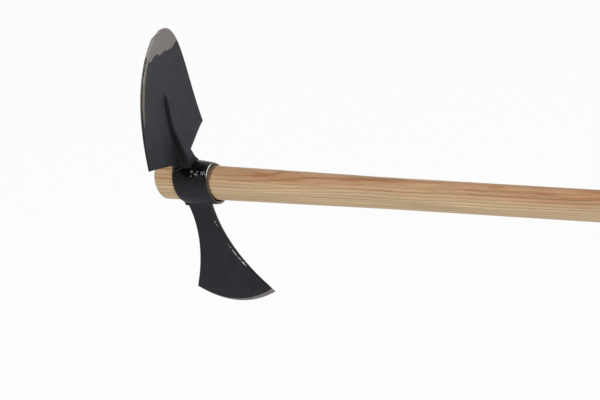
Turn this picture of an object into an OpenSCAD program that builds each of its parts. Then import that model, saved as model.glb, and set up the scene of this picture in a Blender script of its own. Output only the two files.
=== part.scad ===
// Combination planting hoe: a leaf-shaped hoe blade and a flared axe blade, both welded to one
// round eye, on a straight ash handle that passes through the eye.
// +X runs along the handle towards its butt, +Z towards the tip of the hoe blade.
// The origin is the centre of the flat face on the handle's butt.

/* [Handle] */
// Length of the handle from its butt to its head end
handle_len = 900; // [600:10:1100]
// Diameter of the straight part of the handle
grip_d = 33.5; // [30:0.5:35]
// Length of the taper between the eye and the straight part
taper_len = 200; // [120:10:300]
// Length of wood left standing beyond the centre of the eye
head_stub = 45; // [40:1:60]
// Growth of the handle's radius between the eye and its head end
stub_flare = 0.2; // [0:0.1:0.8]
// Angle of the sawn head end from square
stub_rake = 13; // [0:1:16]
// Rounding of the sawn head end
stub_round = 4; // [2:0.5:5]
// Rounding of the butt
butt_round = 5; // [2:0.5:8]

/* [Eye] */
// Length of the eye along the handle
eye_len = 41; // [34:1:44]
// Bore diameter at the head end of the eye
eye_bore_head = 40.4; // [39:0.2:42]
// Bore diameter at the grip end of the eye
eye_bore_grip = 37.2; // [36:0.2:38.4]
// Angle of the eye's end faces from square
eye_rake = 12; // [0:1:14]
// Thickness of the wall above and below the bore
wall_top = 3.2; // [2.6:0.1:5]
// Thickness of the wall beside the bore
wall_side = 2.7; // [2.2:0.1:4]
// Extra height of the barrel at its thickest place
belly_top = 1.3; // [0.5:0.1:3]
// Extra half width of the barrel at its thickest place
belly_side = 1.7; // [0.5:0.1:3]
// Rounding of the eye's end rims
rim_round = 1.4; // [0.8:0.1:2]

/* [Hoe blade] */
// Width across the shoulders
hoe_w = 130; // [110:1:140]
// Height of the shoulder corners above the handle's axis
shoulder_z = 41.5; // [38:0.5:50]
// Height of the tip above the handle's axis
hoe_tip_z = 177.5; // [150:1:200]
// Fall of the shoulders from the corners to the middle
shoulder_fall = 19.5; // [14:0.5:22]
// Share of the width that is lost towards the tip before it rounds in
leaf_taper = 0.27; // [0.1:0.01:0.4]
// Fullness of the rounded tip, where a higher number is blunter
leaf_power = 3.7; // [2.5:0.1:5]
// Distance of the blade's edges behind the centre of the eye
hoe_back = 24.2; // [22:0.2:26]
// Radius of the bend along the blade
hoe_bend_r = 475; // [350:5:900]
// Height where the bend is deepest
hoe_bend_z = 92; // [70:1:110]
// Depth of the dish across the blade
hoe_dish = 1.2; // [0:0.1:3]
// Thickness of the plate
hoe_t = 4.5; // [3.5:0.1:6]
// Thickness of the ground edge
hoe_edge_t = 1.4; // [0.8:0.1:2.5]
// Width of the ground bevel along the edge
hoe_bevel = 6; // [3:0.5:10]

/* [Rib] */
// Height of the rib over the blade's face
rib_h = 4.6; // [2:0.2:6]
// Half width of the rib's foot
rib_half = 4.6; // [3.6:0.2:7]
// Height where the rib fades out
rib_top_z = 103; // [90:1:120]
// Height where the rib starts to deepen into the neck
neck_z = 64; // [50:1:80]
// Growth of the rib's height down the neck
neck_rise = 11; // [8:0.1:14]
// Growth of the rib's half width down the neck
neck_spread = 6; // [2:0.1:7]

/* [Axe blade] */
// Depth of the cutting edge's lowest point below the handle's axis
axe_depth = 142; // [120:1:160]
// Length of the cutting edge's chord
axe_edge = 95; // [70:1:110]
// Sagitta of the cutting edge
axe_sagitta = 14; // [6:0.5:20]
// Lead of the cutting edge's middle towards the butt
axe_lead = 22; // [0:0.5:30]
// Width of the neck where it leaves the eye
axe_neck = 27; // [20:0.5:30]
// Distance of the neck's middle from the centre of the eye, towards the head end
axe_neck_back = 6; // [2:0.5:8]
// Angle of the back edge from plumb where it leaves the eye
axe_back_top = 22; // [10:1:30]
// Angle of the back edge from plumb where it meets the cutting edge
axe_back_low = 20; // [0:1:30]
// Angle of the front edge from plumb where it leaves the eye
axe_front_top = 4; // [0:1:15]
// Angle of the front edge from plumb where it meets the cutting edge
axe_front_low = 49; // [30:1:55]
// Thickness of the neck
axe_neck_t = 10; // [7:0.5:13]
// Thickness of the cutting edge
axe_edge_t = 0.9; // [0.6:0.1:1.5]
// Width of the ground bevel behind the cutting edge
axe_bevel = 7; // [4:0.5:12]
// Thickness of the blade where the ground bevel starts
axe_bevel_t = 3.2; // [2:0.1:4]

/* [Welds] */
// Radius of the weld bead around the hoe's neck
hoe_bead_r = 2.5; // [1.5:0.1:3]
// Height of the weld on the axe's neck below the eye
axe_bead_h = 5.5; // [2:0.5:7]
// Width of the weld's foot on the eye beside the axe's neck
axe_bead_w = 3.5; // [1.5:0.5:5]

/* [Hidden] */
WOOD = "burlywood";
STEEL = "dimgray";
WELD = "slategray";
ROUND = 96;
// Length that the wedge fit runs on past the eye's leaning ends
FIT_SPARE = 0.5;

eye_x = -(handle_len - head_stub);
eye_half = eye_len / 2;
eye_lean = tan(eye_rake);
head_r = eye_bore_head / 2;
grip_r = grip_d / 2;
bore_slope = (eye_bore_head - eye_bore_grip) / 2 / eye_len;
fit_half = eye_half + eye_lean * (head_r + wall_top + belly_top) + FIT_SPARE;
fit_r_head = head_r + bore_slope * (fit_half - eye_half);
fit_r_grip = eye_bore_grip / 2 - bore_slope * (fit_half - eye_half);

function lerp(a, b, t) = a + (b - a) * t;
function smooth(t) = let(c = min(max(t, 0), 1)) c * c * (3 - 2 * c);
function bezier(p, t) = let(s = 1 - t)
    s * s * s * p[0] + 3 * s * s * t * p[1] + 3 * s * t * t * p[2] + t * t * t * p[3];

// Two triangles for the quad a, b, c, d
function quad(a, b, c, d) = [[a, b, c], [a, c, d]];

// Solid over a stack of rings with equal, even numbers of points, its ends closed by strips
module skin(rings) {
    m = len(rings);
    n = len(rings[0]);
    sides = [for (j = [0:m - 2], i = [0:n - 1]) let(a = j * n, b = a + n, k = (i + 1) % n)
        each quad(a + i, b + i, b + k, a + k)];
    first = [for (i = [0:n / 2 - 2]) each quad(i, i + 1, n - 2 - i, n - 1 - i)];
    last = [for (f = first) [for (i = [2:-1:0]) f[i] + (m - 1) * n]];
    polyhedron([for (ring = rings) each ring], concat(sides, first, last));
}

// Places its children in the frame of the eye, whose centre is then the origin
module at_eye() {
    translate([eye_x, 0, 0]) children();
}

// Round bar along X whose radius runs from r1 at x1 to r2 at x2
module bar(x1, x2, r1, r2) {
    translate([x1, 0, 0]) rotate([0, 90, 0]) cylinder(h = x2 - x1, r1 = r1, r2 = r2, $fn = ROUND);
}

// ---- Handle ----

taper_end = fit_half + taper_len;
stub_r = fit_r_head + stub_flare;
stub_reach = head_stub + tan(stub_rake) * stub_r;

// Half section of the turned handle, as radius and distance from the head end towards the butt
module turned_half() {
    flat = grip_r - butt_round;
    len = stub_reach - eye_x;
    polygon([[0, 0], [stub_r, 0], [fit_r_head, stub_reach - fit_half], [fit_r_grip, stub_reach + fit_half],
        [grip_r, stub_reach + taper_end], [grip_r, len - butt_round], [0, len - butt_round]]);
    square([flat, len]);
    intersection() {
        translate([flat, len - butt_round]) circle(butt_round);
        translate([0, len - 2 * butt_round]) square([grip_r, 2 * butt_round]);
    }
}

// Everything that the sawn head end keeps: three bevels round the rim of the leaning cut
module head_end_keep() {
    rim = stub_r / cos(stub_rake);
    far = 2 * handle_len;
    eased = [for (a = [0:30:90]) [rim - stub_round * (1 - sin(a)), stub_round * (1 - cos(a))]];
    translate([-head_stub, 0, 0]) rotate([0, 90 - stub_rake, 0]) rotate_extrude($fn = ROUND)
        polygon(concat([[0, 0]], eased, [[rim + far, stub_round + far], [0, stub_round + far]]));
}

module handle() {
    color(WOOD) at_eye() intersection() {
        translate([-stub_reach, 0, 0]) rotate([0, 90, 0]) rotate_extrude($fn = ROUND) turned_half();
        head_end_keep();
    }
}

// ---- Eye ----

function eye_share(x) = (x + eye_half) / eye_len;
function belly(x) = let(s = 2 * eye_share(x) - 1) 1 - s * s;
function eye_r(x) = head_r - bore_slope * (x + eye_half);
function eye_tall(x) = eye_r(x) + wall_top + belly_top * belly(x);
function eye_wide(x) = eye_r(x) + wall_side + belly_side * belly(x);

// Point of the eye's outer surface on the leaning section x, at angle a from the top
function eye_point(x, a, out = 0) = let(z = (eye_tall(x) + out) * cos(a))
    [x - eye_lean * z, (eye_wide(x) + out) * sin(a), z];

EYE_SIDES = 72;
EYE_RINGS = 8;
function eye_ring(x, out) = [for (i = [0:EYE_SIDES - 1]) eye_point(x, 360 * i / EYE_SIDES, out)];

module eye_body() {
    rim = [for (a = [0:30:90]) rim_round * [1 - sin(a), cos(a) - 1]];
    barrel_half = eye_half - rim_round;
    grip_rim = [for (i = [3:-1:0]) eye_ring(eye_half - rim[i][0], rim[i][1])];
    barrel = [for (i = [1:EYE_RINGS - 1]) eye_ring(lerp(barrel_half, -barrel_half, i / EYE_RINGS), 0)];
    head_rim = [for (i = [0:3]) eye_ring(-eye_half + rim[i][0], rim[i][1])];
    skin(concat(grip_rim, barrel, head_rim));
}

// Cuts what is welded to the eye back to the eye's surface, and ends what hangs over its rim
// just inside the outer surface, clear of the wood
module seat_on_eye() {
    trim_r = head_r + wall_side - rim_round / 4;
    difference() {
        children();
        eye_body();
        bar(-head_stub, 0, trim_r, trim_r);
    }
}

module eye_collar() {
    color(STEEL) at_eye() difference() {
        eye_body();
        bar(-fit_half, fit_half, fit_r_head, fit_r_grip);
    }
}

// ---- Hoe blade ----

// Columns across the plate, from -1 to 1, and rows up it, closer together near the edges
HOE_COLS = [for (a = [-90:9:90]) sin(a)];
// The last row stops just short of the tip, where it would shrink to a point
TIP_SHARE = 0.9998;
HOE_ROWS = [for (j = [0:28]) TIP_SHARE * sin(90 * j / 28)];

function leaf_half(v) = hoe_w / 2 * (1 - leaf_taper * v) * sqrt(1 - pow(v, leaf_power));
function hoe_z(u, v) = lerp(shoulder_z, hoe_tip_z, v) - shoulder_fall * (1 - abs(u)) * pow(1 - v, 2);
function hoe_bend(z) = let(d = z - hoe_bend_z) hoe_bend_r - sqrt(hoe_bend_r * hoe_bend_r - d * d);
function hoe_face(u, z) = hoe_bend(z) - hoe_back - hoe_dish * (1 - u * u);
// Distance in from the ground edge, which fades out above the shoulders
function hoe_inset(u, v) = min(leaf_half(v) * (1 - abs(u)), (1 - v) * (hoe_tip_z - shoulder_z));
function hoe_thick(u, v) = lerp(hoe_edge_t, hoe_t, smooth(hoe_inset(u, v) / hoe_bevel));

function hoe_point(u, v, back) = let(z = hoe_z(u, v))
    [hoe_face(u, z) - back * hoe_thick(u, v), u * leaf_half(v), z];

function hoe_row(v) = concat(
    [for (u = HOE_COLS) hoe_point(u, v, 0)], [for (u = HOE_COLS) hoe_point(-u, v, 1)]);

module hoe_plate() {
    skin([for (v = HOE_ROWS) hoe_row(v)]);
}

// The rib stands on the middle of the face and deepens into the neck that meets the eye.
// Its rows start inside the eye, whose solid is cut from it, and close up towards its rounded end.
RIB_COLS = [for (a = [-90:11.25:90]) sin(a)];
RIB_ROWS = 14;
RIB_END_ROWS = 8;
// The neck goes on widening past the top of the eye, by this share
NECK_REACH = 1.2;
RIB_ZS = concat([for (i = [0:RIB_ROWS]) lerp(eye_tall(0) / 2, neck_z, i / RIB_ROWS)],
    [for (i = [1:RIB_END_ROWS]) lerp(neck_z, rib_top_z, TIP_SHARE * sin(90 * i / RIB_END_ROWS))]);

// Share of the way down the neck, from 0 where it starts to 1 at the top of the eye
function neck_share(z) = min(max((neck_z - z) / (neck_z - eye_tall(0)), 0), NECK_REACH);
function rib_fade(z) = sqrt(1 - pow(max(z - neck_z, 0) / (rib_top_z - neck_z), 8));
function rib_rise(z) = rib_h * rib_fade(z) + neck_rise * smooth(neck_share(z));
function rib_wide(z) = rib_half * rib_fade(z) + neck_spread * pow(neck_share(z), 2);
// Section of the rib, an arch that grows boxier down the neck
function rib_shape(u, z) = 1 - pow(abs(u), 2.5 + 3 * neck_share(z));

function rib_row(z) = let(face = hoe_face(0, z), w = rib_wide(z), foot = face - hoe_t / 2) concat(
    [for (u = RIB_COLS) [lerp(foot, face + rib_rise(z), rib_shape(u, z)), u * w, z]],
    [for (u = RIB_COLS) [foot - hoe_t / 8, -u * w, z]]);

module hoe_rib() {
    skin([for (z = RIB_ZS) rib_row(z)]);
}

module hoe_forging() {
    hoe_plate();
    hoe_rib();
}

module hoe_blade() {
    color(STEEL) at_eye() seat_on_eye() hoe_forging();
}

// ---- Axe blade ----

// Columns from the back edge, -1, to the front edge, 1, and rows down to the cutting edge
AXE_COLS = [-1, -0.96, -0.8, -0.5, -0.2, 0, 0.2, 0.5, 0.8, 0.96, 1];
AXE_ROWS = [for (j = [0:24]) sin(90 * j / 24)];
// Share of its thickness that the blade keeps at its eased long edges
AXE_EASE = 0.75;
// How far each end of a long edge holds its angle, as a share of the blade's length
AXE_TOP_PULL = 0.28;
AXE_LOW_PULL = 0.36;

// The neck starts inside the eye, whose solid is cut from it
axe_root_z = -head_r;
axe_corner_z = axe_sagitta - axe_depth;
axe_drop = axe_root_z - axe_corner_z;

// One long edge, on the side of the neck that side names, as a curve with these two angles
function axe_edge_curve(side, top, low) = let(
    root = [side * axe_neck / 2 - axe_neck_back, axe_root_z],
    corner = [side * axe_edge / 2 + axe_lead, axe_corner_z])
    [root, root + AXE_TOP_PULL * axe_drop * [tan(top), -1],
        corner + AXE_LOW_PULL * axe_drop * [-side * tan(low), 1], corner];
axe_back = axe_edge_curve(-1, axe_back_top, axe_back_low);
axe_front = axe_edge_curve(1, axe_front_top, axe_front_low);

// Point of the blade's middle plane
function axe_xz(u, v) = lerp(bezier(axe_back, v), bezier(axe_front, v), (u + 1) / 2)
    - [0, axe_sagitta * (1 - u * u) * pow(v, 3)];
function axe_wedge(v) = lerp(axe_neck_t, axe_bevel_t, pow(v, 1.4));
function axe_thick(u, v) = (abs(u) == 1 ? AXE_EASE : 1)
    * lerp(axe_edge_t, axe_wedge(v), min((1 - v) * axe_drop / axe_bevel, 1));

function axe_point(u, v, side) = let(p = axe_xz(u, v)) [p[0], side * axe_thick(u, v) / 2, p[1]];

function axe_row(v) = concat(
    [for (u = AXE_COLS) axe_point(u, v, 1)], [for (u = AXE_COLS) axe_point(-u, v, -1)]);

module axe_forging() {
    skin([for (v = AXE_ROWS) axe_row(v)]);
}

module axe_blade() {
    color(STEEL) at_eye() seat_on_eye() axe_forging();
}

// ---- Welds ----

BEAD_SIDES = 12;
// Depth by which the skirt's lower rim starts inside the neck
SKIN_IN = 0.4;

// Ring of a bead at p, across the unit direction t
function bead_ring(p, t, r) = let(
    a = cross(t, [0, 0, 1]), side = a / norm(a), up = cross(side, t))
    [for (i = [0:BEAD_SIDES - 1]) let(c = 360 * i / BEAD_SIDES) p + r * (cos(c) * side - sin(c) * up)];

function unit(v) = v / norm(v);

// Round bead along an open path, drawn in at both ends
module bead(path, r) {
    n = len(path) - 1;
    skin([for (i = [0:n]) bead_ring(path[i], unit(path[min(i + 1, n)] - path[max(i - 1, 0)]),
        r * lerp(0.5, 1, smooth(min(i, n - i) / 5)))]);
}

// The hoe's bead runs along the foot of the plate, along the neck and round its front, and back.
// Its two angles round the eye are those of the neck's flank and of its own end under the plate.
neck_angle = asin((rib_half + neck_spread + hoe_bead_r / 2) / eye_wide(0));
plate_angle = 14;
neck_front_x = hoe_face(0, eye_tall(0)) + rib_h + neck_rise + eye_lean * eye_tall(0);
plate_x = rim_round - eye_half + hoe_bead_r / 2;
HOE_BEAD = [for (t = [-90:6:90]) let(back = 1 - cos(t), side = sign(t) * plate_angle * pow(back, 3))
    eye_point(lerp(neck_front_x, plate_x, back), neck_angle * sin(t) + side)];

module hoe_weld() {
    color(WELD) at_eye() difference() {
        seat_on_eye() bead(HOE_BEAD, hoe_bead_r);
        hoe_forging();
    }
}

// Fills a circle's sine or cosine out towards a square
function squared(t) = sign(t) * pow(abs(t), 0.4);

// Ring round the axe's neck at height z, standing off it by flare
function axe_bead_ring(z, flare) = let(
    back = axe_back[0][0] + tan(axe_back_top) * (axe_root_z - z) - flare,
    front = axe_front[0][0] + tan(axe_front_top) * (axe_root_z - z) + flare,
    half = axe_neck_t / 2 + flare)
    [for (a = [15:30:345]) [lerp(back, front, (1 + squared(cos(a))) / 2), -half * squared(sin(a)), z]];

// The axe's bead is a skirt round the neck that rises inside the eye from a bulging face
module axe_bead() {
    high = -eye_tall(0) * sqrt(1 - pow((axe_neck_t / 2 + axe_bead_w) / eye_wide(0), 2));
    low = -eye_tall(0) - axe_bead_h;
    skin(concat([axe_bead_ring(axe_root_z, axe_bead_w)], [for (a = [90:-15:0])
        axe_bead_ring(lerp(low, high, a / 90), lerp(-SKIN_IN, axe_bead_w, sin(a)))]));
}

module axe_weld() {
    color(WELD) at_eye() difference() {
        seat_on_eye() axe_bead();
        axe_forging();
    }
}

handle();
eye_collar();
hoe_blade();
axe_blade();
hoe_weld();
axe_weld();
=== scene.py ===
# %% [markdown]
# # Dressing a planting hoe
# The tool is a short-headed garden hoe: one round eye on an ash handle, a leaf-shaped digging
# blade standing above it and a small axe blade hanging below it, both welded on. The packed
# CAD model already holds every size. This lesson builds a finer skin for each of its parts,
# gives them wood, lacquer and bare steel, and lights them softly on a white floor.
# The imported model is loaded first, so that each new piece can be held against its plain solid.

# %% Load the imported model
import math
from functools import partial

import bmesh
import bpy
import numpy as np
from mathutils import Matrix, Vector, noise


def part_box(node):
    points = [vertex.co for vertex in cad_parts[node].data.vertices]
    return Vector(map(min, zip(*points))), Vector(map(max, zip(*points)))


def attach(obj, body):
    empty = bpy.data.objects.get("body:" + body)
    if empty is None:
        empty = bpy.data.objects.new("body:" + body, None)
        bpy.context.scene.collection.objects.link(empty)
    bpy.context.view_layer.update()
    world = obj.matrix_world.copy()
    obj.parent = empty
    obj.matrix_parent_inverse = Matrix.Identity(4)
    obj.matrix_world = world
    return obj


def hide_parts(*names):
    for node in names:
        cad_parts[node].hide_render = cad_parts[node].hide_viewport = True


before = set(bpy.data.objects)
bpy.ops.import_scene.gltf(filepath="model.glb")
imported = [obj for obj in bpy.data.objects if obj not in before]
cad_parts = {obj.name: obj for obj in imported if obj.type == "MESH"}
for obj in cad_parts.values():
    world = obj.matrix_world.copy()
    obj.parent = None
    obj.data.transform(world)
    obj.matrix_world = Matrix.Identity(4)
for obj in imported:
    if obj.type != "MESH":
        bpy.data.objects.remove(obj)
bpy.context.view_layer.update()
print("parts of the tool:", ", ".join(sorted(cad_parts)))

# %% [markdown]
# ## Working in millimetres
# Tools like this are drawn in millimetres and measured from the centre of the eye, with x
# towards the grip, y across the hoe blade and z up to its tip. Blender works in metres from
# the butt. The shapes are therefore worked out as plain arrays in the maker's own units, and
# one function turns them into a mesh in Blender's frame.

# %% Units and small helpers
MM = 0.001
EYE = Vector((-855.0, 0.0, 0.0))
print("the eye's centre lies", -EYE.x, "mm from the butt")


def lerp(a, b, t):
    """The value a share t of the way from a to b."""
    return a + (b - a) * t


def smooth(t):
    """A soft step from 0 to 1."""
    t = np.clip(t, 0.0, 1.0)
    return t * t * (3.0 - 2.0 * t)


def tan_deg(angle):
    """The slope of a line that leans by an angle in degrees."""
    return math.tan(math.radians(angle))


# %% [markdown]
# ## Skin over a stack of rings
# A forged part is easiest to describe as slices: each slice is a closed ring of points, and
# neighbouring slices are joined by four-sided faces. The two end rings are closed by strips,
# as when a flat tube is pinched shut. If the stack runs back into itself, as it does round
# a pipe's wall, there are no ends to close. Blender then turns every face outwards.

# %% Build a mesh from rings
def skin(name, rings, endless=False):
    """A closed mesh piece over rings of equal length, given in millimetres from the eye."""
    rings = np.asarray(rings, float)
    count, around = rings.shape[:2]
    faces = []
    for j in range(count if endless else count - 1):
        a = j * around
        b = (j + 1) % count * around
        for i in range(around):
            k = (i + 1) % around
            faces.append((a + i, a + k, b + k, b + i))
    for start in () if endless else (0, (count - 1) * around):
        for i in range(around // 2 - 1):
            j = start + around - 1 - i
            faces.append((start + i, start + i + 1, j - 1, j))
    points = (rings.reshape(-1, 3) + np.array(EYE)) * MM
    mesh = bpy.data.meshes.new(name)
    mesh.from_pydata(points.tolist(), [], faces)
    return finish_piece(name, mesh)


def finish_piece(name, mesh):
    """Turn all faces outwards, shade them smoothly and put the piece in the scene."""
    form = bmesh.new()
    form.from_mesh(mesh)
    bmesh.ops.recalc_face_normals(form, faces=form.faces)
    if form.calc_volume(signed=True) < 0:
        bmesh.ops.reverse_faces(form, faces=form.faces)
    form.to_mesh(mesh)
    form.free()
    mesh.shade_smooth()
    piece = bpy.data.objects.new(name, mesh)
    bpy.context.scene.collection.objects.link(piece)
    return piece


# %% [markdown]
# Two more helpers serve every piece. One measures how closely a piece fills the box of its
# plain solid. The other stores numbers on a piece's points. A material can read those, so
# a finish such as a ground edge can follow the shape instead of an image laid over it.

# %% Measure a piece and store numbers on it
def note_sizes(piece, node):
    """Print how far each side of the piece's box is from its CAD part, in millimetres."""
    points = np.array([v.co for v in piece.data.vertices])
    gaps = (np.array([points.min(0), points.max(0)]) - np.array(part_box(node))) / MM
    print(f"{piece.name}: {len(piece.data.polygons)} faces, sides off by {gaps.round(2).tolist()} mm")


def keep_values(piece, name, values):
    """Store one number for each point of the piece, for its material to read."""
    store = piece.data.attributes.new(name, "FLOAT", "POINT")
    store.data.foreach_set("value", np.asarray(values, np.float32).ravel())


# %% [markdown]
# ## One way to add a node
# Materials and Geometry Nodes are both trees of small boxes. One helper adds a box, sets its
# options, and fills or links each of its inputs, so that a whole tree reads as a list. An
# input may be given as a plain value, as a socket, or as the node whose result feeds it.
# A node such as Mix hides the sockets of the types of data that it isn't set to, so the
# helper takes the first socket of a name that is switched on.

# %% Add a node
# The types of node that are used most get short names.
MATH = "ShaderNodeMath"
VECTOR = "ShaderNodeVectorMath"
MIX = "ShaderNodeMix"
RANGE = "ShaderNodeMapRange"
NOISE = "ShaderNodeTexNoise"


def result_of(node):
    """The first output of a node that is switched on."""
    return next(s for s in node.outputs if s.enabled)


def add_node(tree, kind, inputs=None, **options):
    """Add one node to a tree, with its inputs by name or number and its options."""
    node = tree.nodes.new(kind)
    for option, value in options.items():
        setattr(node, option, value)
    for key, value in (inputs or {}).items():
        sockets = [s for s in node.inputs if s.enabled and s.name == key]
        socket = sockets[0] if sockets else node.inputs[key]
        if isinstance(value, bpy.types.Node):
            value = result_of(value)
        if isinstance(value, bpy.types.NodeSocket):
            tree.links.new(value, socket)
        else:
            socket.default_value = value
    return node


# %% [markdown]
# ## Colours and materials
# A paint card gives colours as red, green and blue on a screen's curve. Light adds up on
# a straight scale instead, so each code is straightened before a shader uses it. Each finish
# starts as one Principled shader, which can be wood, paint or metal by its settings alone.
# A pattern's size is thought of in millimetres, while Blender asks how many of its waves fit
# in a metre, so one more helper turns the first into the second.

# %% Start a material
def srgb(code):
    """A colour written as #rrggbb, as the linear values that Blender works in."""
    parts = [int(code[i:i + 2], 16) / 255 for i in (1, 3, 5)]
    linear = [p / 12.92 if p <= 0.04045 else ((p + 0.055) / 1.055) ** 2.4 for p in parts]
    return (*linear, 1.0)


def new_material(name, constants):
    """A material with one Principled shader, whose constant values sit on its own sockets."""
    material = bpy.data.materials.new(name)
    material.use_nodes = True
    tree = material.node_tree
    tree.nodes.clear()
    shader = add_node(tree, "ShaderNodeBsdfPrincipled", constants)
    add_node(tree, "ShaderNodeOutputMaterial", {"Surface": shader})
    return material, tree, shader


def per_metre(*sizes):
    """How many waves of a pattern fit in a metre on each axis, from their sizes in mm."""
    return [1.0 / (size * MM) for size in sizes]


print("a screen's half grey is only", round(srgb("#808080")[0], 2), "of white's light")

# %% [markdown]
# ## The camera
# The tool is looked at from the grip's side, a little from above, through a long lens from
# about four metres away, so the handle runs out of view to the right and hardly narrows.
# A camera can be turned by angles or aimed by a constraint. Here its right, up and backward
# directions are written down as they are in the world, as the columns of its matrix.

# %% Place the camera
CAMERA_PLACE = Vector((1.15001, -3.40462, 1.75010))
CAMERA_RIGHT = Vector((0.895477, 0.420044, -0.147257))
CAMERA_UP = Vector((-0.056129, 0.434756, 0.898798))
CAMERA_BACK = Vector((0.441555, -0.796587, 0.412890))


def place_camera():
    """A long lens aimed at the head, set as the scene's camera."""
    lens = bpy.data.cameras.new("long_lens")
    lens.lens = 240.0
    lens.sensor_width = 36.0
    lens.clip_start = 0.1
    lens.clip_end = 60.0
    camera = bpy.data.objects.new("camera", lens)
    bpy.context.scene.collection.objects.link(camera)
    turn = Matrix((CAMERA_RIGHT, CAMERA_UP, CAMERA_BACK)).transposed().to_4x4()
    camera.matrix_world = Matrix.Translation(CAMERA_PLACE) @ turn
    bpy.context.scene.camera = camera


place_camera()
print("camera to eye:", round((CAMERA_PLACE - EYE * MM).length, 3), "m")

# %% [markdown]
# ## The handle
# The handle is turned from ash: parallel along the grip, slightly thicker towards the head,
# where it wedges into the tapered eye, and sawn off a little askew beyond it. It could be
# modelled by hand from a cylinder, but a turned bar follows a rule: it is a circle swept
# along a line with a radius for each place, which is what the node Curve to Mesh does.
# Geometry Nodes keep each size as a named input. The rings are packed closely at both ends,
# where the rims are rounded, and sparsely along the straight part.

# %% The sizes of the handle
HANDLE_SIZES = {
    "Length": 900.0,
    "Stub": 45.0,
    "Head radius": 20.624,
    "Head drop": 0.2,
    "Wedge half length": 26.25,
    "Wedge drop": 2.048,
    "Taper length": 200.0,
    "Taper drop": 1.626,
    "Head rounding": 4.0,
    "Butt rounding": 5.0,
    "Head rake": math.radians(13.0),
}
HANDLE_COUNTS = {"Rings": 320, "Sides": 128}
# How strongly the rings crowd at both ends: below 1, each still lies beyond the last.
CROWDING = 0.955
print("handle:", HANDLE_SIZES["Length"], "mm long,", math.prod(HANDLE_COUNTS.values()), "points")


# %% How thick the bar is
def bar_radius(add, given, reach, wedge_in):
    """The bar's radius at each distance from its sawn end."""
    wedge_out = add(MATH, {0: given["Stub"], 1: given["Wedge half length"]}, operation="ADD")
    taper_out = add(MATH, {0: wedge_out, 1: given["Taper length"]}, operation="ADD")
    radius = given["Head radius"]
    # The radius falls three times: along the stub, along the wedge and along the taper.
    for start, stop, fall in ((0.0, wedge_in, "Head drop"), (wedge_in, wedge_out, "Wedge drop"),
                              (wedge_out, taper_out, "Taper drop")):
        lost = add(RANGE, {"Value": reach, "From Min": start, "From Max": stop,
                           "To Max": given[fall]})
        radius = add(MATH, {0: radius, 1: lost}, operation="SUBTRACT")
    # Both ends are rounded by a quarter circle.
    to_butt = add(MATH, {0: given["Length"], 1: reach}, operation="SUBTRACT")
    for distance, rounding in ((reach, given["Head rounding"]), (to_butt, given["Butt rounding"])):
        near = add(MATH, {0: rounding, 1: distance}, operation="SUBTRACT")
        near = add(MATH, {0: near, 1: 0.0}, operation="MAXIMUM")
        near = add(MATH, {0: near, 1: near}, operation="MULTIPLY")
        whole = add(MATH, {0: rounding, 1: rounding}, operation="MULTIPLY")
        level = add(MATH, {0: whole, 1: near}, operation="SUBTRACT")
        level = add(MATH, {0: level}, operation="SQRT")
        lost = add(MATH, {0: rounding, 1: level}, operation="SUBTRACT")
        radius = add(MATH, {0: radius, 1: lost}, operation="SUBTRACT")
    return radius


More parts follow.
